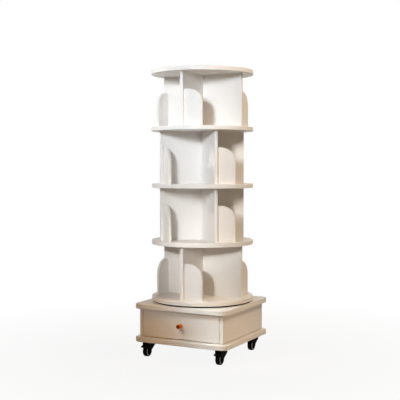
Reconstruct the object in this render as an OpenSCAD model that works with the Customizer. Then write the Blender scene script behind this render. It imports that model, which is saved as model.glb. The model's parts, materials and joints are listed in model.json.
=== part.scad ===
// Revolving bookcase: a four-tier turning stack on a square base with a drawer and casters.
// Origin on the turning axis at floor level, +Z up, drawer front towards -Y.

/* [Stack] */
// Diameter of the round boards
disc_d = 460; // [440:1:500]
// Thickness of the round boards
disc_t = 18; // [15:1:25]
// Rounding of the round boards' rims
disc_edge_r = 5; // [1:0.5:7]
// Clear height of one tier
tier_clear = 236; // [210:1:300]
// Turn of the two middle tiers against the outer two, in degrees
stagger = 45; // [0:5:90]

/* [Dividers and book stops] */
// Thickness of the dividers
divider_t = 15; // [13:1:20]
// Distance from a board's rim to the end of a divider
arm_inset = 32; // [20:1:50]
// Length of a book stop, from the face of its divider
stop_len = 86; // [70:1:110]
// Height of a book stop
stop_h = 160; // [120:1:200]
// Thickness of a book stop
stop_t = 12; // [10:1:18]
// Radius of a book stop's outer top corner
stop_corner_r = 65; // [10:1:68]
// Distance from the end of a divider to its book stop
stop_setback = 13; // [5:1:30]

/* [Base] */
// Side of the square base boards
base_w = 460; // [440:1:500]
// Thickness of the base boards
base_t = 22; // [18:1:28]
// Plan radius of the base boards' corners
base_corner_r = 36; // [20:1:50]
// Rounding of the base boards' edges
base_edge_r = 6; // [1:0.5:8]
// How far the base boards stand out past the cabinet
overhang = 23; // [15:1:35]
// Height of the drawer cabinet between the base boards
cabinet_h = 126; // [120:1:180]
// Thickness of the cabinet's side panels
side_panel_t = 18; // [15:1:22]
// Thickness of the cabinet's back panel
back_panel_t = 15; // [13:1:20]

/* [Swivel bearing] */
// Gap between the base and the turntable board
swivel_gap = 7; // [6.6:0.1:9]
// Thickness of each bearing ring
ring_t = 2.4; // [2:0.1:2.7]
// Distance from the turntable's rim to the rings
ring_inset = 12; // [8:1:30]
// Radial width of the rings
ring_w = 40; // [34:1:50]
// Depth of the ball groove in each ring
groove_depth = 0.9; // [0.5:0.1:1.1]
// Number of balls
ball_count = 36; // [12:1:48]
// Thickness of the ball cage
cage_t = 1; // [0.6:0.1:1.2]
// Radial width of the ball cage
cage_w = 12; // [8:1:16]

/* [Drawer] */
// Gap round the drawer front
drawer_reveal = 2; // [1:0.5:4]
// Thickness of the drawer front
drawer_front_t = 15; // [12:1:20]
// Thickness of the drawer's sides and back
drawer_side_t = 12; // [11:1:16]
// Height of the drawer's sides
drawer_side_h = 90; // [60:1:98]
// Length of the drawer's sides behind the front
drawer_len = 350; // [250:1:370]
// Height of the drawer's sides above the cabinet floor
drawer_lift = 14; // [6:1:20]
// Thickness of the drawer's bottom panel
drawer_bottom_t = 4; // [3:0.5:6]
// Height of the bottom panel above the lower edge of the sides
bottom_rise = 8; // [4:1:15]
// Depth of the grooves that hold the bottom panel
bottom_groove = 5; // [3:0.5:6]
// Gap between a drawer side and its cabinet panel
runner_gap = 5; // [3:0.5:10]
// Height of a drawer runner
runner_h = 12; // [9:1:16]
// Depth of the runner groove in a drawer side
runner_groove = 6; // [3:0.5:7]
// Length of a drawer runner
runner_len = 330; // [250:1:370]

/* [Knob] */
// Diameter of the knob's head
knob_d = 19; // [15:0.5:26]
// Diameter of the knob's stem
knob_stem_d = 14; // [10:0.5:15]
// How far the knob stands out
knob_len = 24; // [18:1:32]
// Length of the knob's head
knob_head_len = 15; // [8:1:17]
// Rounding of the knob's head
knob_edge_r = 2.5; // [0.5:0.5:4]
// Diameter of the knob's screw
knob_screw_d = 4; // [3:0.5:5]
// Depth of the screw in the knob
knob_screw_depth = 14; // [8:1:15]

/* [Casters] */
// Height from the floor to the base
caster_h = 70; // [68:1:90]
// Diameter of the wheels
wheel_d = 50; // [40:1:52]
// Width of the tyres
wheel_w = 22; // [18:1:26]
// Distance from the base's sides to a caster's kingpin
caster_side_inset = 49; // [40:1:60]
// Distance from the base's front and back to a caster's kingpin
caster_end_inset = 64; // [50:1:68]
// Distance from the kingpin forward to the wheel's axle
caster_trail = 21; // [16:1:26]
// Side of a caster's square plate
plate_w = 52; // [50:1:58]
// Thickness of a caster's plate
plate_t = 2.5; // [2:0.5:4]
// Distance from the plate's edge to its screws
plate_screw_inset = 5.5; // [5:0.5:6]
// Diameter of a kingpin
kingpin_d = 8; // [6:0.5:10]
// Diameter of a fork's crown
crown_d = 48; // [44:1:50]
// Thickness of a fork's crown
crown_t = 6.2; // [5:0.1:8]
// Thickness of a fork's legs
leg_t = 2.5; // [2:0.5:4]
// Radius of a leg's end round the axle
leg_end_r = 9; // [7:0.5:11]
// Diameter of an axle bolt
axle_d = 6; // [5:0.5:8]
// Radial thickness of a tyre
tyre_t = 5; // [4:0.5:8]
// Rounding of a tyre's shoulders
tyre_edge_r = 2; // [0.5:0.5:2]
// Length of a brake pedal from its pivot
brake_len = 37; // [30:1:44]
// Width of a brake pedal
brake_w = 22; // [12:1:22]
// Thickness of a brake pedal
brake_t = 3; // [2:0.5:4]
// Slope of a released brake pedal, in degrees
brake_droop = 12; // [5:1:20]

/* [Fasteners] */
// Diameter of the wooden dowels
dowel_d = 8; // [6:0.5:9]
// Depth of a dowel in the edge of a panel
dowel_reach = 22; // [15:1:30]
// Distance from the axis to the inner dowels of a divider
dowel_inner_at = 70; // [50:1:90]
// Distance from a divider's end to its outer dowel
dowel_end_inset = 48; // [40:1:70]
// Distance from a divider's edges to its cross dowels
cross_dowel_inset = 60; // [40:1:90]
// Diameter of the book stop screws
stop_screw_d = 4; // [3:0.5:5]
// Length of the book stop screws
stop_screw_len = 45; // [35:1:60]
// Distance from a book stop's top and bottom to its screws
stop_screw_inset = 30; // [15:1:50]
// Diameter of the cabinet screws
cabinet_screw_d = 5; // [4:0.5:6]
// Length of the cabinet screws
cabinet_screw_len = 55; // [45:1:70]
// Distance from the middle of a cabinet panel to its dowels and screws
cabinet_fixing_at = 120; // [80:1:122]
// Diameter of the screws in thin metal plates
plate_screw_d = 3.5; // [3:0.5:4]
// Length of the screws in thin metal plates
plate_screw_len = 15; // [10:1:16]
// Number of screws in each bearing ring
ring_screws = 6; // [3:1:8]
// Length of the drawer runner screws
runner_screw_len = 22; // [18:1:26]

/* [Clearances] */
// Clearance round fasteners and in glued grooves
hole_clear = 0.1; // [0.05:0.05:0.3]
// Radial clearance of turning pins and axles
run_clear = 0.06; // [0.02:0.01:0.1]
// Clearance of sliding and facing moving parts
slide_clear = 0.3; // [0.2:0.05:0.5]
// Clearance of the balls in grooves and cage
ball_clear = 0.15; // [0.05:0.05:0.25]

/* [Hidden] */
$fn = 96;
TIERS = 4;
QUARTERS = [0:90:270];
CUT = 1;

// Heights from the floor up
z_cabinet = caster_h + base_t;
z_base_top = z_cabinet + cabinet_h;
z_swivel = z_base_top + base_t;
z_turntable = z_swivel + swivel_gap;
tier_pitch = tier_clear + disc_t;
function board_z(level) = z_turntable + level * tier_pitch;
function tier_z(k) = board_z(TIERS - k) + disc_t;
function tier_turn(k) = (k == 1 || k == TIERS) ? 0 : stagger;

// Stack
arm_reach = disc_d / 2 - arm_inset;
stop_x = arm_reach - stop_setback - stop_t;
dowel_web = 2;
dowel_seat = (disc_t - dowel_web) / 2;
dowel_radii = [dowel_inner_at, arm_reach - dowel_end_inset];

// Swivel bearing
ring_ro = disc_d / 2 - ring_inset;
ring_ri = ring_ro - ring_w;
track_r = ring_ro - ring_w / 2;
ball_d = swivel_gap - 2 * ring_t + 2 * groove_depth;
z_ball = z_swivel + swivel_gap / 2;
ring_screw_r = (ring_ri + track_r) / 2;

// Cabinet and drawer
cabinet_w = base_w - 2 * overhang;
cabinet_front = -cabinet_w / 2;
bay_w = cabinet_w - 2 * side_panel_t;
panel_x = cabinet_w / 2 - side_panel_t / 2;
panel_len = cabinet_w - back_panel_t;
panel_y = cabinet_front + panel_len / 2;
back_y = cabinet_w / 2 - back_panel_t / 2;
drawer_box_y = cabinet_front + drawer_front_t;
drawer_side_x = bay_w / 2 - runner_gap;
drawer_inner_w = 2 * (drawer_side_x - drawer_side_t);
z_drawer = z_cabinet + drawer_lift;
z_bottom_panel = z_drawer + bottom_rise;
z_runner = z_drawer + drawer_side_h / 2;
runner_t = runner_gap + runner_groove - slide_clear;
runner_y = drawer_box_y + 2 * drawer_reveal;
runner_screw_ys = [for (i = [1, 3, 5]) runner_y + runner_len * i / 6];
z_knob = z_cabinet + cabinet_h / 2;
knob_bore = knob_screw_d + 2 * hole_clear;

// Casters
caster_x = base_w / 2 - caster_side_inset;
caster_y = base_w / 2 - caster_end_inset;
race_t = 1;
race_rim = 4;
race_d = crown_d - 2 * race_rim;
z_plate = caster_h - plate_t;
z_crown = z_plate - race_t - slide_clear - crown_t;
rivet_lip = 2.5;
rivet_d = kingpin_d + 2 * rivet_lip;
rivet_t = 2.6;
bridge_t = crown_t / 2;
hub_proud = 1.2;
hub_wall = 4;
rim_wall = 3;
rim_inset = 1;
hub_w = wheel_w + 2 * hub_proud;
fork_gap = hub_w + 2 * slide_clear;
fork_w = fork_gap + 2 * leg_t;
leg_lead = 16;
hood_h = 12;
leg_front = caster_trail + leg_lead;
leg_back = crown_d / 2;
axle_z = wheel_d / 2;
axle_head_lip = 2.5;
axle_head_d = axle_d + 2 * axle_head_lip;
axle_head_t = 3;
core_d = wheel_d - 2 * tyre_t;
brake_pin_d = 4;
brake_pin_proud = 0.5;
brake_gap = 1.5;
brake_hub_d = z_crown - wheel_d - 2 * brake_gap;
brake_pin_z = (z_crown + wheel_d) / 2;
brake_foot_len = 12;
shoe_drop = 1;
shoe_w = 4;
CASTERS = [["front_left", -1, -1], ["front_right", 1, -1], ["rear_left", -1, 1], ["rear_right", 1, 1]];
BRAKED = [CASTERS[0], CASTERS[1]];

// Colours
IVORY = [0.93, 0.90, 0.85];
SHADED_IVORY = [0.88, 0.84, 0.78];
BEECH = [0.80, 0.66, 0.46];
KNOB_BROWN = [0.62, 0.30, 0.10];
STEEL = [0.70, 0.70, 0.72];
BLACK_STEEL = [0.10, 0.10, 0.11];
BLACK_NYLON = [0.13, 0.13, 0.13];
TYRE_GREY = [0.20, 0.20, 0.20];
WHITE_NYLON = [0.90, 0.90, 0.88];

// Half section of a board's rim, from r_in to r_out, with both outer edges rounded
module rim_profile(r_in, r_out, t, edge_r) {
    translate([r_in, 0]) square([r_out - r_in - edge_r, t]);
    translate([r_in, edge_r]) square([r_out - r_in, t - 2 * edge_r]);
    for (y = [edge_r, t - edge_r]) translate([r_out - edge_r, y]) circle(r = edge_r);
}

// Countersunk screw along -Z with the top of its head at the origin; grow makes its hole
module countersunk(d, len, grow = 0) {
    head_d = 2 * d;
    head_h = d / 2;
    translate([0, 0, -len - grow]) cylinder(h = len - head_h + grow, d = d + 2 * grow);
    translate([0, 0, -head_h]) cylinder(h = head_h, d1 = d + 2 * grow, d2 = head_d + 2 * grow);
    if (grow > 0) cylinder(h = CUT, d = head_d + 2 * grow);
}

// Dowel along +Z that reaches seat below and reach above the origin; grow makes its hole
module dowel(seat, reach, grow = 0) {
    translate([0, 0, -seat - grow]) cylinder(h = seat + reach + 2 * grow, d = dowel_d + 2 * grow);
}

// Places of the dowels in the lower and upper edges of a tier's dividers
module tier_edge_dowels(k, grow = 0) {
    for (a = QUARTERS, r = dowel_radii) rotate([0, 0, tier_turn(k) + a]) translate([r, 0, 0]) {
        translate([0, 0, tier_z(k)]) dowel(dowel_seat, dowel_reach, grow);
        translate([0, 0, tier_z(k) + tier_clear]) dowel(dowel_reach, dowel_seat, grow);
    }
}

// Dowels through the long divider into both short ones
module tier_cross_dowels(k, grow = 0) {
    half = divider_t / 2 + dowel_reach;
    for (z = [cross_dowel_inset, tier_clear - cross_dowel_inset])
        rotate([0, 0, tier_turn(k)]) translate([0, 0, tier_z(k) + z]) rotate([90, 0, 0])
            dowel(half, half, grow);
}

// Screws through a tier's dividers into the ends of the book stops
module tier_stop_screws(k, grow = 0) {
    for (a = QUARTERS, z = [stop_screw_inset, stop_h - stop_screw_inset])
        rotate([0, 0, tier_turn(k) + a])
            translate([stop_x + stop_t / 2, -divider_t / 2, tier_z(k) + z]) rotate([90, 0, 0])
                countersunk(stop_screw_d, stop_screw_len, grow);
}

// Round board at a level counted from the turntable, drilled for the tiers that meet it
module round_board(level) {
    color(IVORY) difference() {
        translate([0, 0, board_z(level)]) rotate_extrude()
            rim_profile(0, disc_d / 2, disc_t, disc_edge_r);
        if (level > 0) tier_edge_dowels(TIERS - level + 1, hole_clear);
        if (level < TIERS) tier_edge_dowels(TIERS - level, hole_clear);
        if (level == 0) swivel_screws(true, hole_clear);
    }
}

module tier_drilling(k) {
    tier_edge_dowels(k, hole_clear);
    tier_cross_dowels(k, hole_clear);
    tier_stop_screws(k, hole_clear);
}

module long_divider(k) {
    color(SHADED_IVORY) difference() {
        rotate([0, 0, tier_turn(k)]) translate([-arm_reach, -divider_t / 2, tier_z(k)])
            cube([2 * arm_reach, divider_t, tier_clear]);
        tier_drilling(k);
    }
}

module short_dividers(k) {
    color(SHADED_IVORY) difference() {
        for (a = [90, 270]) rotate([0, 0, tier_turn(k) + a])
            translate([divider_t / 2, -divider_t / 2, tier_z(k)])
                cube([arm_reach - divider_t / 2, divider_t, tier_clear]);
        tier_drilling(k);
    }
}

module stop_outline() {
    square([stop_len, stop_h - stop_corner_r]);
    square([stop_len - stop_corner_r, stop_h]);
    translate([stop_len - stop_corner_r, stop_h - stop_corner_r]) intersection() {
        circle(r = stop_corner_r);
        square(stop_corner_r);
    }
}

module book_stops(k) {
    color(IVORY) difference() {
        for (a = QUARTERS) rotate([0, 0, tier_turn(k) + a])
            translate([stop_x, divider_t / 2, tier_z(k)]) rotate([90, 0, 90])
                linear_extrude(stop_t) stop_outline();
        tier_stop_screws(k, hole_clear);
    }
}

module divider_dowels() {
    color(BEECH) for (k = [1:TIERS]) {
        tier_edge_dowels(k);
        tier_cross_dowels(k);
    }
}

module book_stop_screws() {
    color(STEEL) for (k = [1:TIERS]) tier_stop_screws(k);
}

// Bearing ring with its ball groove, drilled for its own screws
module swivel_ring(upper) {
    color(BLACK_STEEL) difference() {
        translate([0, 0, upper ? z_turntable - ring_t : z_swivel]) rotate_extrude()
            translate([ring_ri, 0]) square([ring_w, ring_t]);
        translate([0, 0, z_ball]) rotate_extrude()
            translate([track_r, 0]) circle(d = ball_d + 2 * ball_clear);
        swivel_screws(upper, hole_clear);
    }
}

// Screws of a bearing ring: up into the turntable, or down into the base
module swivel_screws(upper, grow = 0) {
    step = 360 / ring_screws;
    z_head = upper ? z_turntable - ring_t : z_swivel + ring_t;
    for (i = [0:ring_screws - 1]) rotate([0, 0, step * (i + (upper ? 0.5 : 0))])
        translate([ring_screw_r, 0, z_head]) rotate([upper ? 180 : 0, 0, 0])
            countersunk(plate_screw_d, plate_screw_len, grow);
}

module swivel_upper_ring() {
    swivel_ring(true);
}

module swivel_lower_ring() {
    swivel_ring(false);
}

module swivel_upper_screws() {
    color(STEEL) swivel_screws(true);
}

module swivel_lower_screws() {
    color(STEEL) swivel_screws(false);
}

module at_balls() {
    for (i = [0:ball_count - 1]) rotate([0, 0, 360 * i / ball_count])
        translate([track_r, 0, z_ball]) children();
}

module swivel_ball_cage() {
    color(WHITE_NYLON) difference() {
        translate([0, 0, z_ball - cage_t / 2]) rotate_extrude()
            translate([track_r - cage_w / 2, 0]) square([cage_w, cage_t]);
        at_balls() cylinder(h = cage_t + 2 * CUT, d = ball_d + 2 * ball_clear, center = true);
    }
}

module swivel_balls() {
    color(STEEL) at_balls() sphere(d = ball_d);
}

// Square board with round plan corners and rounded edges, standing on z = 0
module base_board() {
    corner = base_w / 2 - base_corner_r;
    straight = 2 * corner;
    translate([-corner, -corner, 0]) cube([straight, straight, base_t]);
    for (a = QUARTERS) rotate([0, 0, a]) {
        translate([corner, 0, 0]) rotate([90, 0, 0]) linear_extrude(straight, center = true)
            rim_profile(0, base_corner_r, base_t, base_edge_r);
        translate([corner, corner, 0]) rotate_extrude(angle = 90)
            rim_profile(0, base_corner_r, base_t, base_edge_r);
    }
}

// Plan places of the dowels above and the screws below the cabinet panels
module at_cabinet_fixings() {
    for (s = [-1, 1]) {
        for (x = [-panel_x, panel_x]) translate([x, panel_y + s * cabinet_fixing_at, 0]) children();
        translate([s * cabinet_fixing_at, back_y, 0]) children();
    }
}

module cabinet_dowels(grow = 0) {
    at_cabinet_fixings() translate([0, 0, z_base_top]) dowel(dowel_reach, base_t / 2, grow);
}

module cabinet_screws(grow = 0) {
    at_cabinet_fixings() translate([0, 0, caster_h]) rotate([180, 0, 0])
        countersunk(cabinet_screw_d, cabinet_screw_len, grow);
}

module base_top_board() {
    color(IVORY) difference() {
        translate([0, 0, z_base_top]) base_board();
        cabinet_dowels(hole_clear);
        swivel_screws(false, hole_clear);
    }
}

module base_bottom_board() {
    color(IVORY) difference() {
        translate([0, 0, caster_h]) base_board();
        cabinet_screws(hole_clear);
        plate_screws(hole_clear);
    }
}

module side_panel(side) {
    color(IVORY) difference() {
        translate([side * panel_x - side_panel_t / 2, cabinet_front, z_cabinet])
            cube([side_panel_t, panel_len, cabinet_h]);
        cabinet_dowels(hole_clear);
        cabinet_screws(hole_clear);
        fixing_screws(side, hole_clear);
    }
}

module base_left_panel() {
    side_panel(-1);
}

module base_right_panel() {
    side_panel(1);
}

module base_back_panel() {
    color(IVORY) difference() {
        translate([-cabinet_w / 2, cabinet_w / 2 - back_panel_t, z_cabinet])
            cube([cabinet_w, back_panel_t, cabinet_h]);
        cabinet_dowels(hole_clear);
        cabinet_screws(hole_clear);
    }
}

module base_dowels() {
    color(BEECH) cabinet_dowels();
}

module base_screws() {
    color(STEEL) cabinet_screws();
}

// Screws of one drawer runner, outwards into its cabinet panel
module fixing_screws(side, grow = 0) {
    for (y = runner_screw_ys) translate([side * (bay_w / 2 - runner_t), y, z_runner])
        rotate([0, -side * 90, 0]) countersunk(plate_screw_d, runner_screw_len, grow);
}

module drawer_runner(side) {
    color(WHITE_NYLON) difference() {
        translate([side * (bay_w - runner_t) / 2 - runner_t / 2, runner_y, z_runner - runner_h / 2])
            cube([runner_t, runner_len, runner_h]);
        fixing_screws(side, hole_clear);
    }
}

module drawer_runner_left() {
    drawer_runner(-1);
}

module drawer_runner_right() {
    drawer_runner(1);
}

module runner_screws() {
    color(STEEL) for (side = [-1, 1]) fixing_screws(side);
}

// Thin bottom panel that sits in grooves of the front and the sides; grow makes the grooves
module bottom_panel(grow = 0) {
    inset = hole_clear - grow;
    w = drawer_inner_w + 2 * (bottom_groove - inset);
    translate([-w / 2, drawer_box_y - bottom_groove + inset, z_bottom_panel - grow])
        cube([w, drawer_len + bottom_groove - inset, drawer_bottom_t + 2 * grow]);
}

module knob_screw_shape(grow = 0) {
    head_d = 2 * knob_screw_d;
    head_t = knob_screw_d / 2;
    translate([0, drawer_box_y, z_knob]) rotate([90, 0, 0]) {
        cylinder(h = drawer_front_t + knob_screw_depth + grow, d = knob_screw_d + 2 * grow);
        if (grow == 0) translate([0, 0, -head_t]) cylinder(h = head_t, d = head_d);
    }
}

module drawer_front() {
    w = bay_w - 2 * drawer_reveal;
    h = cabinet_h - 2 * drawer_reveal;
    color(IVORY) difference() {
        translate([-w / 2, cabinet_front, z_cabinet + drawer_reveal]) cube([w, drawer_front_t, h]);
        bottom_panel(hole_clear);
        knob_screw_shape(hole_clear);
    }
}

module drawer_side(side) {
    groove_h = runner_h + 2 * slide_clear;
    color(SHADED_IVORY) difference() {
        translate([side * (drawer_side_x - drawer_side_t / 2) - drawer_side_t / 2, drawer_box_y, z_drawer])
            cube([drawer_side_t, drawer_len, drawer_side_h]);
        translate([side * drawer_side_x - runner_groove, drawer_box_y - CUT, z_runner - groove_h / 2])
            cube([2 * runner_groove, drawer_len + 2 * CUT, groove_h]);
        bottom_panel(hole_clear);
    }
}

module drawer_left_side() {
    drawer_side(-1);
}

module drawer_right_side() {
    drawer_side(1);
}

module drawer_back() {
    z = z_bottom_panel + drawer_bottom_t;
    color(SHADED_IVORY) translate([-drawer_inner_w / 2, drawer_box_y + drawer_len - drawer_side_t, z])
        cube([drawer_inner_w, drawer_side_t, z_drawer + drawer_side_h - z]);
}

module drawer_bottom() {
    color(SHADED_IVORY) bottom_panel();
}

module drawer_knob() {
    color(KNOB_BROWN) difference() {
        translate([0, cabinet_front, z_knob]) rotate([90, 0, 0]) {
            cylinder(h = knob_len - knob_edge_r, d = knob_stem_d);
            translate([0, 0, knob_len - knob_head_len]) rotate_extrude()
                rim_profile(0, knob_d / 2, knob_head_len, knob_edge_r);
        }
        knob_screw_shape(hole_clear);
    }
}

module knob_screw() {
    color(STEEL) knob_screw_shape();
}

module at_caster(c) {
    translate([c[1] * caster_x, c[2] * caster_y, 0]) children();
}

module plate_screws(grow = 0) {
    at = plate_w / 2 - plate_screw_inset;
    for (c = CASTERS, x = [-at, at], y = [-at, at]) at_caster(c) translate([x, y, z_plate])
        rotate([180, 0, 0]) countersunk(plate_screw_d, plate_screw_len, grow);
}

// Plate with the upper ball race and the riveted kingpin
module caster_plates() {
    z_rivet = z_crown - slide_clear - rivet_t;
    color(BLACK_STEEL) difference() {
        for (c = CASTERS) at_caster(c) {
            translate([-plate_w / 2, -plate_w / 2, z_plate]) cube([plate_w, plate_w, plate_t]);
            translate([0, 0, z_plate - race_t]) cylinder(h = race_t, d = race_d);
            translate([0, 0, z_rivet]) cylinder(h = z_plate - z_rivet, d = kingpin_d);
            translate([0, 0, z_rivet]) cylinder(h = rivet_t, d = rivet_d);
        }
        plate_screws(hole_clear);
    }
}

module caster_plate_screws() {
    color(STEEL) plate_screws();
}

// Side view of a fork leg: upright hood below the crown, then a taper to the axle
module leg_outline() {
    z_top = z_crown + bridge_t;
    z_hood = z_crown - hood_h;
    polygon([
        [leg_back, z_top],
        [-leg_front, z_top],
        [-leg_front, z_hood],
        [-caster_trail - leg_end_r, axle_z],
        [-caster_trail + leg_end_r, axle_z],
        [leg_back, z_hood]
    ]);
    translate([-caster_trail, axle_z]) circle(r = leg_end_r);
}

// Bar along X at the axle or the brake pivot
module cross_bar(z, len, d) {
    translate([0, -caster_trail, z]) rotate([0, 90, 0]) cylinder(h = len, d = d, center = true);
}

module caster_fork(c, braked) {
    color(BLACK_STEEL) at_caster(c) difference() {
        union() {
            translate([0, 0, z_crown]) cylinder(h = crown_t, d = crown_d);
            translate([-fork_w / 2, -leg_front, z_crown]) cube([fork_w, leg_front + leg_back, bridge_t]);
            for (x = [-fork_w / 2, fork_w / 2 - leg_t])
                translate([x, 0, 0]) rotate([90, 0, 90]) linear_extrude(leg_t) leg_outline();
        }
        translate([0, 0, z_crown - CUT]) cylinder(h = crown_t + 2 * CUT, d = kingpin_d + 2 * run_clear);
        cross_bar(axle_z, fork_w + 2 * CUT, axle_d + 2 * run_clear);
        if (braked) cross_bar(brake_pin_z, fork_w + 2 * CUT, brake_pin_d + 2 * run_clear);
    }
}

// Axle bolt with its hexagonal head and nut
module caster_axle(c) {
    color(BLACK_STEEL) at_caster(c) {
        cross_bar(axle_z, fork_w + 2 * axle_head_t, axle_d);
        for (s = [-1, 1]) translate([s * (fork_w + axle_head_t) / 2, 0, 0])
            cross_bar(axle_z, axle_head_t, axle_head_d, $fn = 6);
    }
}

// Half section of a wheel's core: hub, recessed web and rim
module core_profile() {
    bore_r = axle_d / 2 + run_clear;
    hub_r = axle_d / 2 + hub_wall;
    rim_r = core_d / 2 - rim_wall;
    translate([bore_r, -hub_w / 2]) square([hub_r - bore_r, hub_w]);
    translate([bore_r, -wheel_w / 4]) square([core_d / 2 - bore_r, wheel_w / 2]);
    translate([rim_r, -wheel_w / 2 + rim_inset]) square([core_d / 2 - rim_r, wheel_w - 2 * rim_inset]);
}

module caster_wheel(c) {
    at_caster(c) translate([0, -caster_trail, axle_z]) rotate([0, 90, 0]) {
        color(BLACK_NYLON) rotate_extrude() core_profile();
        color(TYRE_GREY) translate([0, 0, -wheel_w / 2]) rotate_extrude()
            rim_profile(core_d / 2 + run_clear, wheel_d / 2, wheel_w, tyre_edge_r);
    }
}

// Side view of a brake pedal about its pivot: hub, lever, foot plate and shoe
module brake_outline() {
    z_shoe = wheel_d + shoe_drop - brake_pin_z;
    circle(d = brake_hub_d);
    rotate(brake_droop) {
        translate([-brake_len, -brake_t / 2]) square([brake_len, brake_t]);
        translate([-brake_len, -brake_t]) square([brake_foot_len, 2 * brake_t]);
    }
    translate([-brake_hub_d / 2 - shoe_w, z_shoe]) square([shoe_w + brake_hub_d / 3, -z_shoe]);
}

// Brake pedal on its pivot pin
module caster_brake(c) {
    color(BLACK_NYLON) at_caster(c) {
        translate([-brake_w / 2, -caster_trail, brake_pin_z]) rotate([90, 0, 90])
            linear_extrude(brake_w) brake_outline();
        cross_bar(brake_pin_z, fork_w + 2 * brake_pin_proud, brake_pin_d);
    }
}

round_board(TIERS);  // top_board
for (k = [1:TIERS - 1])
    round_board(TIERS - k);
round_board(0);  // turntable_board
for (k = [1:TIERS]) {
    long_divider(k);
    short_dividers(k);
    book_stops(k);
}
divider_dowels();
book_stop_screws();
swivel_upper_ring();
swivel_upper_screws();
swivel_ball_cage();
swivel_balls();
swivel_lower_ring();
swivel_lower_screws();
base_top_board();
base_bottom_board();
base_left_panel();
base_right_panel();
base_back_panel();
base_dowels();
base_screws();
drawer_runner_left();
drawer_runner_right();
runner_screws();
drawer_front();
drawer_left_side();
drawer_right_side();
drawer_back();
drawer_bottom();
drawer_knob();
knob_screw();
caster_plates();
caster_plate_screws();
for (c = CASTERS) {
    caster_fork(c, c[2] < 0);
    caster_axle(c);
    caster_wheel(c);
}
for (c = BRAKED)
    caster_brake(c);
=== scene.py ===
"""Dresses the revolving bookcase in the CAD frame: painted boards, drawer, knob and casters, in metres."""

import json
import math

import bmesh
import bpy
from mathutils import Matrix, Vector


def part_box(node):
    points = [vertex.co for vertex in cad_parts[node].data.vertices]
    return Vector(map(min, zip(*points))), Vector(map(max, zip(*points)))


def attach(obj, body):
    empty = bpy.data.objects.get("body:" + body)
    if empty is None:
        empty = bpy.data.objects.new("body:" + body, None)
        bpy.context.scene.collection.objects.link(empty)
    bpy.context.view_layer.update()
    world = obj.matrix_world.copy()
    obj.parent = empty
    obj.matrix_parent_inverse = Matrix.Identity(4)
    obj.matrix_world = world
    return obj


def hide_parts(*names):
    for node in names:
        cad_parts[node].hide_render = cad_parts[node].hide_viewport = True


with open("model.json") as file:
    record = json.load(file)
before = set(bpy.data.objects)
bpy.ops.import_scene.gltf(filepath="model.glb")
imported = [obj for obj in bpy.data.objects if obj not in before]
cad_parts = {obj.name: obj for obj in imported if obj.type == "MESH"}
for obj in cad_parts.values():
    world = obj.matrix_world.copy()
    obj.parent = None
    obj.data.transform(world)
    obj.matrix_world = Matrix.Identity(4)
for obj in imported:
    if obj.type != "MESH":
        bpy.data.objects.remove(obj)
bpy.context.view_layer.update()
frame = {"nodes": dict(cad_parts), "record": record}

# Angles and limits
QUARTER = math.radians(90)
SMOOTH_ANGLE = math.radians(40)
WHOLE_FACE_ANGLE = math.radians(1)
CUT_FACE_ANGLE = math.radians(0.3)
FACING = 0.9
TINY = 0.0001
FLAT_LIMIT = 0.00001
MERGE_LIMIT = 0.000001

# Segments of soft edges
SOFT_STEPS = 3
FINE_STEPS = 2

# Sizes of the stack, in metres
TIERS = (1, 2, 3, 4)
MIDDLE_TIERS = (2, 3)
STAGGER = math.radians(45)
RIM_ROUND = 0.002
RIM_STEPS = 6
RIM_SIDES = 192
ARM_END_ROUND = 0.0025
ARM_END_STEPS = 4
STOP_LENGTH = 0.086
STOP_THICKNESS = 0.012
STOP_SETBACK = 0.013
STOP_CORNER = 0.065
STOP_CORNER_STEPS = 28
STOP_SCREW_INSET = 0.030
PANEL_EDGE_ROUND = 0.0012
CAP_RADIUS = 0.0055
CAP_THICKNESS = 0.0008
CAP_ROUND = CAP_THICKNESS * 0.4
CAP_SIDES = 32

# Sizes of the base and the drawer
CABINET_FIXINGS = (-0.120, 0.120)
BASE_CORNER = 0.036
BASE_CORNER_STEPS = 16
BASE_EDGE_ROUND = 0.003
BASE_EDGE_STEPS = 6
JOINT_ROUND = 0.0022
JOINT_STEPS = 4
GAP_EDGE_ROUND = 0.0005
GROOVE_HEIGHT = 0.0034
GROOVE_DEPTH = 0.009
DRAWER_GROOVE_HEIGHT = 0.0016
DRAWER_BOX_ROUND = 0.0005
KNOB_STEM_RADIUS = 0.0088
KNOB_STEM_LENGTH = 0.009
KNOB_SIDES = 64
KNOB_ROUND = 0.0022
KNOB_STEPS = 5
KNOB_END_BORDER = 0.0012
KNOB_DISH_BORDER = 0.0010
KNOB_DISH_DEPTH = 0.0006
KNOB_END_REACH = 0.0005
KNOB_END_FACING = 0.99
KNOB_DARK_REACH = 0.0015
KNOB_DARK_FACING = 0.8

# Sizes of the casters
CORNERS = ("front_left", "front_right", "rear_left", "rear_right")
BRAKED_CORNERS = ("front_left", "front_right")
WHEEL_SIDES = 72
TYRE_DEPTH = 0.005
TYRE_WIDTH = 0.022
TYRE_SHOULDER = 0.0047
TYRE_STEPS = 5
CORE_WIDTH = 0.020
CORE_RIM = 0.003
CORE_ROUND = 0.0006
HUB_RADIUS = 0.007
WEB_DEPTH = 0.004
RING_RADIUS = 0.0008
RING_SIDES = 10
RING_FLATNESS = 0.8
FORK_ROUND = 0.0006
AXLE_ROUND = 0.0004
BRAKE_ROUND = 0.0006
PLATE_ROUND = 0.0004
BLACK_COATED = "black_steel"
BLACK_MOULDED = "black_plastic"


# Modelling helpers
def deselect_all():
    if bpy.context.mode != "OBJECT":
        bpy.ops.object.mode_set(mode="OBJECT")
    bpy.ops.object.select_all(action="DESELECT")


def pick(piece):
    deselect_all()
    bpy.context.view_layer.objects.active = piece
    piece.select_set(True)


def settle(piece, name):
    """Names the piece and puts its place, turn and size into its mesh."""
    piece.name = name
    pick(piece)
    bpy.ops.object.transform_apply(location=True, rotation=True, scale=True)
    return piece


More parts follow.
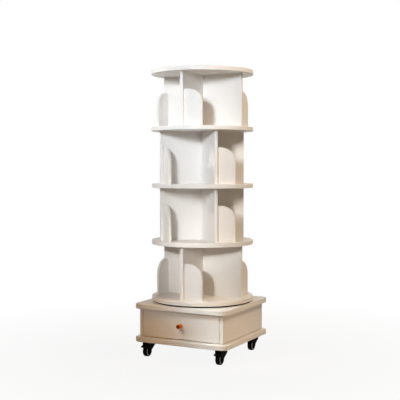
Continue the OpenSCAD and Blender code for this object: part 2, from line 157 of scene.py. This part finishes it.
def add_box(name, low, high):
    deselect_all()
    low, high = Vector(low), Vector(high)
    bpy.ops.mesh.primitive_cube_add(size=1, location=(low + high) / 2)
    bpy.context.object.scale = high - low
    return settle(bpy.context.object, name)


def add_round(name, radius, depth, centre, sides, axis="Z"):
    deselect_all()
    turns = {"X": (0, QUARTER, 0), "Y": (QUARTER, 0, 0), "Z": (0, 0, 0)}
    bpy.ops.mesh.primitive_cylinder_add(
        vertices=sides, radius=radius, depth=depth, location=centre, rotation=turns[axis]
    )
    return settle(bpy.context.object, name)


def centre_of(node):
    low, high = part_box(node)
    return (low + high) / 2


def upright(along):
    """True for the direction of an edge that runs up and down."""
    return abs(along.z) > 0.5


def sideways(along):
    """True for the direction of an edge that runs along X."""
    return abs(along.x) > 0.5


def select_edges(piece, wanted):
    """Opens the piece in edit mode with the edges selected whose middle and direction are wanted."""
    pick(piece)
    bpy.ops.object.mode_set(mode="EDIT")
    bpy.ops.mesh.select_mode(type="EDGE")
    bpy.ops.mesh.select_all(action="DESELECT")
    mesh = bmesh.from_edit_mesh(piece.data)
    for edge in mesh.edges:
        start, end = (corner.co for corner in edge.verts)
        edge.select_set(wanted((start + end) / 2, (end - start).normalized()))
    mesh.select_flush_mode()
    bmesh.update_edit_mesh(piece.data)


def select_faces(piece, wanted):
    """Opens the piece in edit mode with the faces selected whose middle and normal are wanted."""
    pick(piece)
    bpy.ops.object.mode_set(mode="EDIT")
    bpy.ops.mesh.select_mode(type="FACE")
    bpy.ops.mesh.select_all(action="DESELECT")
    mesh = bmesh.from_edit_mesh(piece.data)
    for face in mesh.faces:
        face.select_set(wanted(face.calc_center_median(), face.normal))
    mesh.select_flush_mode()
    bmesh.update_edit_mesh(piece.data)


def close_edit():
    bpy.ops.object.mode_set(mode="OBJECT")


def round_edges(piece, radius, segments, wanted):
    select_edges(piece, wanted)
    bpy.ops.mesh.bevel(offset=radius, segments=segments, profile=0.5, affect="EDGES")
    close_edit()


def soften(piece, radius, segments=SOFT_STEPS):
    """Rounds every edge sharper than the smoothing angle, and drops faces squeezed to nothing."""
    pick(piece)
    bevel = piece.modifiers.new("soft_edges", "BEVEL")
    bevel.width = radius
    bevel.segments = segments
    bevel.limit_method = "ANGLE"
    bevel.angle_limit = SMOOTH_ANGLE
    bpy.ops.object.modifier_apply(modifier=bevel.name)
    select_faces(piece, lambda middle, normal: True)
    bpy.ops.mesh.dissolve_degenerate(threshold=FLAT_LIMIT)
    close_edit()


def turn_about_axis(piece, angle):
    piece.rotation_euler = (0, 0, angle)
    return settle(piece, piece.name)


def copy_piece(piece, name):
    twin = bpy.data.objects.new(name, piece.data.copy())
    bpy.context.collection.objects.link(twin)
    return twin


def join_pieces(pieces, name):
    deselect_all()
    for piece in pieces:
        piece.select_set(True)
    bpy.context.view_layer.objects.active = pieces[0]
    bpy.ops.object.join()
    pieces[0].name = name
    return pieces[0]


def merged_copy(node, name):
    """A copy of a CAD node as one mesh with whole faces, ready for soft edges."""
    piece = copy_piece(frame["nodes"][node], name)
    pick(piece)
    bpy.ops.object.mode_set(mode="EDIT")
    bpy.ops.mesh.select_all(action="SELECT")
    bpy.ops.mesh.remove_doubles(threshold=MERGE_LIMIT)
    bpy.ops.mesh.dissolve_limited(angle_limit=WHOLE_FACE_ANGLE)
    close_edit()
    return piece


def dress(piece, body, slot, material, *nodes):
    """Gives a finished shape its shading, finish and body, and hides the CAD nodes that it stands for; the
    slot is not used.
    """
    pick(piece)
    bpy.ops.object.shade_smooth_by_angle(angle=SMOOTH_ANGLE)
    normals = piece.modifiers.new("flat_faces", "WEIGHTED_NORMAL")
    normals.keep_sharp = True
    bpy.ops.object.modifier_apply(modifier=normals.name)
    if material.name not in piece.data.materials:
        piece.data.materials.clear()
        piece.data.materials.append(material)
    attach(piece, body)
    if nodes:
        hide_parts(*nodes)


# Finishes
TONE_SPREAD = 0.2
ROUGHNESS_SPREAD = 0.06
RELIEF_DEPTH = 0.0003
FIBRE_SCALE = 60.0
FIBRE_DETAIL = 6.0
FIBRE_RELIEF = 0.08
COAT_ROUGHNESS = 0.15


def new_finish(name, sheen, metallic=0.0):
    material = bpy.data.materials.new(name)
    material.use_nodes = True
    tree = material.node_tree
    shader = tree.nodes["Principled BSDF"]
    shader.inputs["Specular IOR Level"].default_value = sheen
    shader.inputs["Metallic"].default_value = metallic
    return material, tree, shader


def add_noise(tree, scale, detail=3.0, stretch=(1, 1, 1)):
    place = tree.nodes.new("ShaderNodeTexCoord")
    mapping = tree.nodes.new("ShaderNodeMapping")
    mapping.inputs["Scale"].default_value = stretch
    noise = tree.nodes.new("ShaderNodeTexNoise")
    noise.inputs["Scale"].default_value = scale
    noise.inputs["Detail"].default_value = detail
    tree.links.new(place.outputs["Object"], mapping.inputs["Vector"])
    tree.links.new(mapping.outputs["Vector"], noise.inputs["Vector"])
    return noise


def tint(tree, shader, noise, dark, light):
    """Base colour that wanders between two tones with the noise."""
    ramp = tree.nodes.new("ShaderNodeValToRGB")
    ramp.color_ramp.elements[0].position = 0.5 - TONE_SPREAD
    ramp.color_ramp.elements[0].color = (*dark, 1)
    ramp.color_ramp.elements[1].position = 0.5 + TONE_SPREAD
    ramp.color_ramp.elements[1].color = (*light, 1)
    tree.links.new(noise.outputs["Fac"], ramp.inputs["Fac"])
    tree.links.new(ramp.outputs["Color"], shader.inputs["Base Color"])


def wander(tree, shader, noise, roughness):
    """Roughness that wanders a little about its middle value with the noise."""
    band = tree.nodes.new("ShaderNodeMapRange")
    band.inputs["To Min"].default_value = roughness - ROUGHNESS_SPREAD
    band.inputs["To Max"].default_value = roughness + ROUGHNESS_SPREAD
    tree.links.new(noise.outputs["Fac"], band.inputs["Value"])
    tree.links.new(band.outputs["Result"], shader.inputs["Roughness"])


def roughen(tree, shader, noise, strength):
    """Fine relief of the surface from the noise."""
    bump = tree.nodes.new("ShaderNodeBump")
    bump.inputs["Strength"].default_value = strength
    bump.inputs["Distance"].default_value = RELIEF_DEPTH
    tree.links.new(noise.outputs["Fac"], bump.inputs["Height"])
    tree.links.new(bump.outputs["Normal"], shader.inputs["Normal"])


def plain_finish(name, dark, light, roughness, tone_scale, grain_scale, relief, metallic=0.0, sheen=0.5):
    material, tree, shader = new_finish(name, sheen, metallic)
    tones = add_noise(tree, tone_scale)
    tint(tree, shader, tones, dark, light)
    wander(tree, shader, tones, roughness)
    roughen(tree, shader, add_noise(tree, grain_scale), relief)
    return material


def grained_finish(name, dark, light, roughness, stretch, coat, sheen=0.5):
    material, tree, shader = new_finish(name, sheen)
    fibres = add_noise(tree, FIBRE_SCALE, FIBRE_DETAIL, stretch)
    tint(tree, shader, fibres, dark, light)
    wander(tree, shader, fibres, roughness)
    roughen(tree, shader, fibres, FIBRE_RELIEF)
    shader.inputs["Coat Weight"].default_value = coat
    shader.inputs["Coat Roughness"].default_value = COAT_ROUGHNESS
    return material


ivory_paint = plain_finish(
    "ivory_paint", dark=(0.845, 0.825, 0.795), light=(0.870, 0.852, 0.825),
    roughness=0.45, tone_scale=4.0, grain_scale=420.0, relief=0.05, sheen=0.3,
)
raw_beech = grained_finish(
    "raw_beech", dark=(0.55, 0.36, 0.20), light=(0.68, 0.48, 0.29),
    roughness=0.6, stretch=(6, 6, 0.4), coat=0.0,
)
varnished_wood = grained_finish(
    "varnished_wood", dark=(0.74, 0.175, 0.003), light=(0.94, 0.250, 0.008),
    roughness=0.40, stretch=(5, 0.6, 5), coat=0.05, sheen=0.1,
)
# Painted shade: the knob's end face, which faces away from the light, gets a finish far darker than its
# body.
knob_shaded_end = grained_finish(
    "knob_shaded_end", dark=(0.15, 0.020, 0.001), light=(0.24, 0.040, 0.003),
    roughness=0.50, stretch=(5, 5, 5), coat=0.0, sheen=0.1,
)
zinc_steel = plain_finish(
    "zinc_steel", dark=(0.52, 0.52, 0.53), light=(0.66, 0.66, 0.67),
    roughness=0.34, tone_scale=30.0, grain_scale=900.0, relief=0.06, metallic=1.0,
)
black_powder_coat = plain_finish(
    "black_powder_coat", dark=(0.004, 0.004, 0.003), light=(0.006, 0.005, 0.004),
    roughness=0.60, tone_scale=20.0, grain_scale=900.0, relief=0.15, sheen=0.015,
)
black_moulding = plain_finish(
    "black_moulding", dark=(0.004, 0.003, 0.002), light=(0.006, 0.005, 0.003),
    roughness=0.50, tone_scale=25.0, grain_scale=700.0, relief=0.06, sheen=0.015,
)
tyre_rubber = plain_finish(
    "tyre_rubber", dark=(0.004, 0.004, 0.003), light=(0.007, 0.006, 0.004),
    roughness=0.70, tone_scale=40.0, grain_scale=600.0, relief=0.12, sheen=0.015,
)
# Partly painted highlight: light grey metal for the beads that stand in for the light line along the tyre's
# edge.
polished_highlight_ring = plain_finish(
    "polished_highlight_ring", dark=(0.40, 0.37, 0.33), light=(0.48, 0.45, 0.41),
    roughness=0.24, tone_scale=30.0, grain_scale=600.0, relief=0.03, metallic=1.0,
)
natural_nylon = plain_finish(
    "natural_nylon", dark=(0.74, 0.73, 0.68), light=(0.82, 0.81, 0.77),
    roughness=0.5, tone_scale=12.0, grain_scale=500.0, relief=0.05,
)
FINISH_OF_SLOT = {
    "ivory_board": ivory_paint,
    "beech": raw_beech,
    "knob_wood": varnished_wood,
    "steel": zinc_steel,
    "black_steel": black_powder_coat,
    "black_plastic": black_moulding,
    "wheel_rubber": tyre_rubber,
    "white_nylon": natural_nylon,
}

# Every CAD node gets the finish of its slot
for subpart in frame["record"]["subparts"]:
    node_mesh = frame["nodes"][subpart["node"]].data
    node_mesh.materials.clear()
    node_mesh.materials.append(FINISH_OF_SLOT[subpart["material_slot"]])


def paint(piece, body, *nodes):
    dress(piece, body, "ivory_board", ivory_paint, *nodes)


# Round boards of the stack
def round_board(node):
    low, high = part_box(node)
    board = add_round(f"painted_{node}", (high.x - low.x) / 2, high.z - low.z, centre_of(node), RIM_SIDES)
    round_edges(board, RIM_ROUND, RIM_STEPS, lambda middle, along: not upright(along))
    paint(board, "stack", node)


for node in ("top_board", "shelf_board_1", "shelf_board_2", "shelf_board_3", "turntable_board"):
    round_board(node)


# Dividers of a tier
def tier_turn(tier):
    return STAGGER if tier in MIDDLE_TIERS else 0


def tier_heights(tier):
    low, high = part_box(f"tier_{tier}_long_divider")
    return low.z, high.z


arm_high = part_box("tier_1_long_divider")[1]
ARM_REACH = arm_high.x
ARM_HALF = arm_high.y


def divider(name, inner, tier, turn):
    """A standing board along X from inner to the arm's end, with rounded free edges, then turned."""
    def free(middle, along):
        return upright(along) and abs(middle.x) > ARM_HALF * 2

    floor, ceiling = tier_heights(tier)
    board = add_box(name, (inner, -ARM_HALF, floor), (ARM_REACH, ARM_HALF, ceiling))
    round_edges(board, ARM_END_ROUND, ARM_END_STEPS, free)
    return turn_about_axis(board, turn)


def tier_dividers(tier):
    turn = tier_turn(tier)
    long_board = divider(f"painted_tier_{tier}_long_divider", -ARM_REACH, tier, turn)
    paint(long_board, "stack", f"tier_{tier}_long_divider")
    arms = [divider(f"arm_{side}", ARM_HALF, tier, turn + side * QUARTER) for side in (1, 3)]
    short_boards = join_pieces(arms, f"painted_tier_{tier}_short_dividers")
    paint(short_boards, "stack", f"tier_{tier}_short_dividers")


for tier in TIERS:
    tier_dividers(tier)

# Book stops, modelled once on the first arm and copied round each tier
stop_low, stop_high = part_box("tier_1_book_stops")
STOP_HEIGHT = stop_high.z - stop_low.z
STOP_OUTER = ARM_REACH - STOP_SETBACK
STOP_FAR = ARM_HALF + STOP_LENGTH


def book_stop_pattern():
    def outer_top(middle, along):
        return sideways(along) and middle.z > STOP_HEIGHT - TINY and middle.y > STOP_FAR - TINY

    low = (STOP_OUTER - STOP_THICKNESS, ARM_HALF, 0)
    stop = add_box("book_stop_pattern", low, (STOP_OUTER, STOP_FAR, STOP_HEIGHT))
    round_edges(stop, STOP_CORNER, STOP_CORNER_STEPS, outer_top)
    soften(stop, PANEL_EDGE_ROUND)
    return stop


def tier_stops(tier, pattern):
    floor = tier_heights(tier)[0]
    stops = []
    for quarter in range(4):
        stop = copy_piece(pattern, f"stop_{quarter}")
        stop.location = (0, 0, floor)
        stops.append(turn_about_axis(stop, tier_turn(tier) + quarter * QUARTER))
    piece = join_pieces(stops, f"painted_tier_{tier}_book_stops")
    paint(piece, "stack", f"tier_{tier}_book_stops")


stop_pattern = book_stop_pattern()
for tier in TIERS:
    tier_stops(tier, stop_pattern)
bpy.data.objects.remove(stop_pattern)


# Cover caps over the screws of the book stops and of the cabinet
def cap_pattern(centre, axis):
    cap = add_round("cap_pattern", CAP_RADIUS, CAP_THICKNESS, centre, CAP_SIDES, axis)
    soften(cap, CAP_ROUND, FINE_STEPS)
    return cap


def stop_screw_caps():
    """Caps over the two screws of every book stop, on the far face of its divider."""
    caps = []
    at = Vector((STOP_OUTER - STOP_THICKNESS / 2, -ARM_HALF - CAP_THICKNESS / 2, 0))
    pattern = cap_pattern(at, "Y")
    for tier in TIERS:
        floor = tier_heights(tier)[0]
        for quarter in range(4):
            for height in (STOP_SCREW_INSET, STOP_HEIGHT - STOP_SCREW_INSET):
                cap = copy_piece(pattern, "cap")
                cap.location = (0, 0, floor + height)
                caps.append(turn_about_axis(cap, tier_turn(tier) + quarter * QUARTER))
    bpy.data.objects.remove(pattern)
    paint(join_pieces(caps, "stop_screw_caps"), "stack")


stop_screw_caps()


# Base boards and cabinet panels
def base_board(node):
    board = add_box(f"painted_{node}", *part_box(node))
    round_edges(board, BASE_CORNER, BASE_CORNER_STEPS, lambda middle, along: upright(along))
    round_edges(board, BASE_EDGE_ROUND, BASE_EDGE_STEPS, lambda middle, along: not upright(along))
    paint(board, "base", node)


def groove_foot(board, outward, height):
    """Cuts a square groove along the foot of a board's outer face and gives the height of its lip."""
    corners = [corner.co for corner in board.data.vertices]
    outer = max(corner.dot(outward) for corner in corners) - TINY
    lip = min(corner.z for corner in corners) + height
    for height_of_cut in (lip - TINY, lip):
        select_faces(board, lambda middle, normal: True)
        bpy.ops.mesh.bisect(plane_co=(0, 0, height_of_cut), plane_no=(0, 0, 1), threshold=FLAT_LIMIT)
        close_edit()
    # Above the lower cut, and below the middle of the short edges that join the two cuts
    foot = lip - TINY * 0.75
    select_edges(board, lambda middle, along: middle.dot(outward) > outer and middle.z < foot)
    bpy.ops.transform.translate(value=-GROOVE_DEPTH * outward)
    bpy.ops.mesh.select_all(action="SELECT")
    bpy.ops.mesh.dissolve_limited(angle_limit=CUT_FACE_ANGLE)
    close_edit()
    return lip


def cabinet_panel(node, outward):
    """A panel with a groove along its foot, an eased outer face and a rounded edge by the drawer."""
    def outer_above_lip(middle, along):
        return middle.dot(outward) > outer and middle.z > lip + TINY

    def inner_front(middle, along):
        return middle.dot(outward) < inner and middle.y < low.y + TINY

    low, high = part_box(node)
    outward = Vector(outward)
    outer = max(low.dot(outward), high.dot(outward)) - TINY
    inner = min(low.dot(outward), high.dot(outward)) + TINY
    panel = add_box(f"painted_{node}", low, high)
    lip = groove_foot(panel, outward, GROOVE_HEIGHT)
    round_edges(panel, JOINT_ROUND, JOINT_STEPS, outer_above_lip)
    if outward.x:
        round_edges(panel, JOINT_ROUND, JOINT_STEPS, inner_front)
    soften(panel, GAP_EDGE_ROUND, FINE_STEPS)
    paint(panel, "base", node)


def base_screw_caps():
    """Caps over the screws that come up through the bottom board into the cabinet's panels."""
    side, back = centre_of("base_right_panel"), centre_of("base_back_panel")
    places = [(x, side.y + reach) for x in (-side.x, side.x) for reach in CABINET_FIXINGS]
    places += [(reach, back.y) for reach in CABINET_FIXINGS]
    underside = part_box("base_bottom_board")[0].z
    pattern = cap_pattern(Vector((0, 0, underside - CAP_THICKNESS / 2)), "Z")
    caps = []
    for x, y in places:
        cap = copy_piece(pattern, "cap")
        cap.location = (x, y, 0)
        caps.append(settle(cap, "cap"))
    bpy.data.objects.remove(pattern)
    paint(join_pieces(caps, "base_screw_caps"), "base")


for node in ("base_top_board", "base_bottom_board"):
    base_board(node)
base_screw_caps()
cabinet_panel("base_left_panel", (-1, 0, 0))
cabinet_panel("base_right_panel", (1, 0, 0))
cabinet_panel("base_back_panel", (0, 1, 0))


# Drawer
def drawer_front():
    """The front board, with a groove along its foot that keeps the gap below it dark."""
    board = add_box("painted_drawer_front", *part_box("drawer_front"))
    groove_foot(board, Vector((0, -1, 0)), DRAWER_GROOVE_HEIGHT)
    soften(board, GAP_EDGE_ROUND)
    paint(board, "drawer", "drawer_front")


def drawer_back():
    board = add_box("painted_drawer_back", *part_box("drawer_back"))
    soften(board, PANEL_EDGE_ROUND)
    paint(board, "drawer", "drawer_back")


drawer_front()
drawer_back()
for node in ("drawer_left_side", "drawer_right_side", "drawer_bottom"):
    board = merged_copy(node, f"painted_{node}")
    soften(board, DRAWER_BOX_ROUND, FINE_STEPS)
    paint(board, "drawer", node)


def turned_knob():
    """A stem, and a thicker head drawn out of its end, with softened rims and a dished end."""
    low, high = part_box("drawer_knob")
    centre_x, centre_z = (low.x + high.x) / 2, (low.z + high.z) / 2
    head_radius = (high.x - low.x) / 2
    stem_end = high.y - KNOB_STEM_LENGTH
    head_length = stem_end - low.y
    stem_middle = Vector((centre_x, high.y - KNOB_STEM_LENGTH / 2, centre_z))
    knob = add_round("turned_knob", KNOB_STEM_RADIUS, KNOB_STEM_LENGTH, stem_middle, KNOB_SIDES, "Y")
    select_faces(knob, lambda middle, normal: normal.y < -FACING)
    bpy.ops.mesh.extrude_region_move()
    widen = head_radius / KNOB_STEM_RADIUS
    bpy.ops.transform.resize(value=(widen, 1, widen), center_override=(centre_x, stem_end, centre_z))
    bpy.ops.mesh.extrude_region_move(TRANSFORM_OT_translate={"value": (0, -head_length, 0)})
    close_edit()
    soften(knob, KNOB_ROUND, KNOB_STEPS)
    end = low.y + KNOB_END_REACH
    select_faces(knob, lambda middle, normal: normal.y < -KNOB_END_FACING and middle.y < end)
    bpy.ops.mesh.inset(thickness=KNOB_END_BORDER)
    bpy.ops.mesh.inset(thickness=KNOB_DISH_BORDER)
    bpy.ops.transform.translate(value=(0, KNOB_DISH_DEPTH, 0))
    close_edit()
    knob.data.materials.append(varnished_wood)
    knob.data.materials.append(knob_shaded_end)
    # The faces at the knob's end get the darker finish: painted shade.
    for face in knob.data.polygons:
        if face.center.y < low.y + KNOB_DARK_REACH and face.normal.y < -KNOB_DARK_FACING:
            face.material_index = 1
    dress(knob, "drawer", "knob_wood", varnished_wood, "drawer_knob")


turned_knob()


# Casters
def wheel_measures(corner):
    """Centre, radius and half the width of a wheel."""
    low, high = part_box(f"caster_wheel_{corner}")
    return (low + high) / 2, (high.z - low.z) / 2, (high.x - low.x) / 2


def tyre(corner):
    """A ring cut through a short cylinder, with round shoulders."""
    def shoulder(middle, along):
        return not sideways(along) and math.hypot(middle.y - centre.y, middle.z - centre.z) > outer

    centre, radius, _ = wheel_measures(corner)
    outer = radius - TYRE_DEPTH / 2
    ring = add_round(f"tyre_{corner}", radius, TYRE_WIDTH, centre, WHEEL_SIDES, "X")
    select_faces(ring, lambda middle, normal: abs(normal.x) > FACING)
    bpy.ops.mesh.inset(thickness=TYRE_DEPTH)
    bpy.ops.mesh.bridge_edge_loops()
    close_edit()
    round_edges(ring, TYRE_SHOULDER, TYRE_STEPS, shoulder)
    dress(ring, f"wheel_{corner}", "wheel_rubber", tyre_rubber, f"caster_wheel_{corner}")


def wheel_core(corner):
    """A disc with a rim, a recessed web and a hub that stands out on both sides."""
    centre, wheel_radius, half_width = wheel_measures(corner)
    radius = wheel_radius - TYRE_DEPTH
    core = add_round(f"wheel_core_{corner}", radius, CORE_WIDTH, centre, WHEEL_SIDES, "X")
    select_faces(core, lambda middle, normal: abs(normal.x) > FACING)
    bpy.ops.mesh.inset(thickness=CORE_RIM)
    bpy.ops.mesh.extrude_region_shrink_fatten(TRANSFORM_OT_shrink_fatten={"value": -WEB_DEPTH})
    bpy.ops.mesh.inset(thickness=radius - CORE_RIM - HUB_RADIUS)
    hub_height = half_width - (CORE_WIDTH / 2 - WEB_DEPTH)
    bpy.ops.mesh.extrude_region_shrink_fatten(TRANSFORM_OT_shrink_fatten={"value": hub_height})
    close_edit()
    soften(core, CORE_ROUND, FINE_STEPS)
    dress(core, f"wheel_{corner}", "black_plastic", black_moulding, f"caster_wheel_{corner}")


def highlight_rim_rings(corner):
    """A polished bead on each side of the wheel where the tyre meets its core; partly a painted highlight,
    its light grey standing in for the light line along the tyre's edge.
    """
    centre, wheel_radius, _ = wheel_measures(corner)
    beads = []
    for side in (-1, 1):
        deselect_all()
        bpy.ops.mesh.primitive_torus_add(
            major_radius=wheel_radius - TYRE_DEPTH,
            minor_radius=RING_RADIUS,
            major_segments=WHEEL_SIDES,
            minor_segments=RING_SIDES,
            location=centre + Vector((side * TYRE_WIDTH / 2, 0, 0)),
            rotation=(0, QUARTER, 0),
        )
        bpy.context.object.scale = (1, 1, RING_FLATNESS)
        beads.append(settle(bpy.context.object, f"bead_{side}"))
    piece = join_pieces(beads, f"highlight_rim_rings_{corner}")
    dress(piece, f"wheel_{corner}", "black_plastic", polished_highlight_ring, f"caster_wheel_{corner}")


def soft_copy(node, name, body, slot, edge_round):
    piece = merged_copy(node, name)
    soften(piece, edge_round, FINE_STEPS)
    dress(piece, body, slot, FINISH_OF_SLOT[slot], node)


for corner in CORNERS:
    tyre(corner)
    wheel_core(corner)
    highlight_rim_rings(corner)
    soft_copy(f"caster_fork_{corner}", f"fork_{corner}", f"caster_{corner}", BLACK_COATED, FORK_ROUND)
    soft_copy(f"caster_axle_{corner}", f"axle_{corner}", f"caster_{corner}", BLACK_COATED, AXLE_ROUND)
for corner in BRAKED_CORNERS:
    soft_copy(f"caster_brake_{corner}", f"brake_{corner}", f"brake_{corner}", BLACK_MOULDED, BRAKE_ROUND)
soft_copy("caster_plates", "plates", "base", BLACK_COATED, PLATE_ROUND)

# Floor, light and camera
WHITE = (1, 1, 1, 1)
FLOOR_SIZE = 80.0
FLOOR_COLOUR = (0.45, 0.42, 0.38, 1)
FLOOR_ROUGHNESS = 0.9
FLOOR_WHITE = 0.90
SHADOW_REACH = (0.4, 1.6)
WARM_FILL = (1.0, 0.70, 0.42, 1)
FILL_STRENGTH = 0.10
COOL_LIGHT = (0.87, 0.93, 1.0)
WHITE_LIGHT = (1.0, 0.99, 0.98)
PALE_LIGHT = (0.79, 0.92, 1.0)
WARM_LIGHT = (1.0, 0.80, 0.59)
AMBER_LIGHT = (1.0, 0.54, 0.20)
BACK_LIGHT = (1.0, 0.94, 0.87)
OPEN_BEAM = 180

# Lamps: name, place, target, size, power in watts, colour and full angle of the beam in degrees.
# Two in front light the upper and the lower tiers, two the sides, five small ones the base and one the back.
LAMPS = (
    ("upper_lamp", (0.50, -2.75, 1.65), (0, 0, 1.06), 0.5, 1.45, COOL_LIGHT, 24),
    ("lower_lamp", (0.50, -2.75, 1.20), (0, 0, 0.46), 0.3, 0.37, WHITE_LIGHT, 15),
    ("left_lamp", (-2.40, -0.60, 1.90), (0, 0, 1.15), 0.6, 1.95, WHITE_LIGHT, 37),
    ("right_lamp", (2.08, 0, 2.72), (0, 0, 0.85), 1.0, 43.0, WARM_LIGHT, OPEN_BEAM),
    ("base_lamp", (-0.45, -1.20, 1.30), (0.22, -0.23, 0.15), 0.40, 0.28, PALE_LIGHT, 15),
    ("corner_lamp", (-0.50, -1.35, 0.90), (0.22, -0.23, 0.14), 0.12, 0.05, WARM_LIGHT, 13),
    ("drawer_lamp", (-0.30, -1.00, 1.45), (-0.10, -0.23, 0.12), 0.35, 0.06, AMBER_LIGHT, 15),
    ("low_lamp", (-0.45, -1.35, 0.95), (-0.10, -0.23, 0.12), 0.35, 0.036, AMBER_LIGHT, 15),
    ("side_lamp", (1.70, -0.50, 0.55), (0.23, -0.10, 0.13), 0.5, 0.085, AMBER_LIGHT, 16),
    ("back_lamp", (-1.7, 2.4, 0.80), (0, 0, 0.70), 1.0, 36, BACK_LIGHT, OPEN_BEAM),
)
LAMP_WITHOUT_SHINE = "back_lamp"

CAMERA_AZIMUTH = math.radians(27.48)
CAMERA_DISTANCE = 3.849
CAMERA_HEIGHT = 0.854
CAMERA_TILT = math.radians(2.322)
CAMERA_LENS = 76.17
CAMERA_SHIFT_X = -0.0060


def outside_view(tree):
    """1 for camera, glossy and transmission rays, 0 for rays that light a surface."""
    path = tree.nodes.new("ShaderNodeLightPath")
    seen = path.outputs["Is Camera Ray"]
    for ray in ("Is Glossy Ray", "Is Transmission Ray"):
        either = tree.nodes.new("ShaderNodeMath")
        either.operation = "MAXIMUM"
        tree.links.new(seen, either.inputs[0])
        tree.links.new(path.outputs[ray], either.inputs[1])
        seen = either.outputs["Value"]
    return seen


def pale_floor():
    """A floor that keeps the shadow near the object and is white further out."""
    deselect_all()
    bpy.ops.mesh.primitive_plane_add(size=FLOOR_SIZE)
    floor = bpy.context.object
    floor.name = "floor"
    material = bpy.data.materials.new("pale_floor")
    material.use_nodes = True
    tree = material.node_tree
    shader = tree.nodes["Principled BSDF"]
    shader.inputs["Base Color"].default_value = FLOOR_COLOUR
    shader.inputs["Roughness"].default_value = FLOOR_ROUGHNESS
    white = tree.nodes.new("ShaderNodeEmission")
    white.inputs["Color"].default_value = WHITE
    place = tree.nodes.new("ShaderNodeTexCoord")
    distance = tree.nodes.new("ShaderNodeVectorMath")
    distance.operation = "LENGTH"
    fade = tree.nodes.new("ShaderNodeMapRange")
    fade.inputs["From Min"].default_value, fade.inputs["From Max"].default_value = SHADOW_REACH
    fade.inputs["To Min"].default_value = FLOOR_WHITE
    fade.inputs["To Max"].default_value = 1.0
    share = tree.nodes.new("ShaderNodeMath")
    share.operation = "MULTIPLY"
    tree.links.new(place.outputs["Object"], distance.inputs[0])
    tree.links.new(distance.outputs["Value"], fade.inputs["Value"])
    tree.links.new(outside_view(tree), share.inputs[0])
    tree.links.new(fade.outputs["Result"], share.inputs[1])
    mix = tree.nodes.new("ShaderNodeMixShader")
    tree.links.new(share.outputs["Value"], mix.inputs["Fac"])
    tree.links.new(shader.outputs["BSDF"], mix.inputs[1])
    tree.links.new(white.outputs["Emission"], mix.inputs[2])
    tree.links.new(mix.outputs["Shader"], tree.nodes["Material Output"].inputs["Surface"])
    floor.data.materials.append(material)


def studio_world():
    """A warm fill on the object before a white background."""
    world = bpy.data.worlds.new("studio")
    bpy.context.scene.world = world
    world.use_nodes = True
    tree = world.node_tree
    fill = tree.nodes["Background"]
    fill.inputs["Color"].default_value = WARM_FILL
    fill.inputs["Strength"].default_value = FILL_STRENGTH
    white = tree.nodes.new("ShaderNodeBackground")
    white.inputs["Color"].default_value = WHITE
    mix = tree.nodes.new("ShaderNodeMixShader")
    tree.links.new(outside_view(tree), mix.inputs["Fac"])
    tree.links.new(fill.outputs["Background"], mix.inputs[1])
    tree.links.new(white.outputs["Background"], mix.inputs[2])
    tree.links.new(mix.outputs["Shader"], tree.nodes["World Output"].inputs["Surface"])


def soft_lamp(name, place, target, size, power, colour, beam):
    deselect_all()
    bpy.ops.object.light_add(type="AREA", location=place)
    lamp = bpy.context.object
    lamp.name = name
    lamp.data.shape = "DISK"
    lamp.data.size = size
    lamp.data.energy = power
    lamp.data.color = colour
    lamp.data.spread = math.radians(beam)
    lamp.visible_camera = False
    lamp.visible_glossy = name != LAMP_WITHOUT_SHINE
    lamp.rotation_euler = (Vector(target) - Vector(place)).to_track_quat("-Z", "Y").to_euler()


def photo_camera():
    deselect_all()
    place = (
        math.sin(CAMERA_AZIMUTH) * CAMERA_DISTANCE,
        -math.cos(CAMERA_AZIMUTH) * CAMERA_DISTANCE,
        CAMERA_HEIGHT,
    )
    bpy.ops.object.camera_add(location=place, rotation=(QUARTER - CAMERA_TILT, 0, CAMERA_AZIMUTH))
    camera = bpy.context.object
    camera.name = "photo_camera"
    camera.data.lens = CAMERA_LENS
    camera.data.shift_x = CAMERA_SHIFT_X
    bpy.context.scene.camera = camera


pale_floor()
studio_world()
for lamp_row in LAMPS:
    soft_lamp(*lamp_row)
photo_camera()
bpy.context.scene.view_settings.view_transform = "Standard"
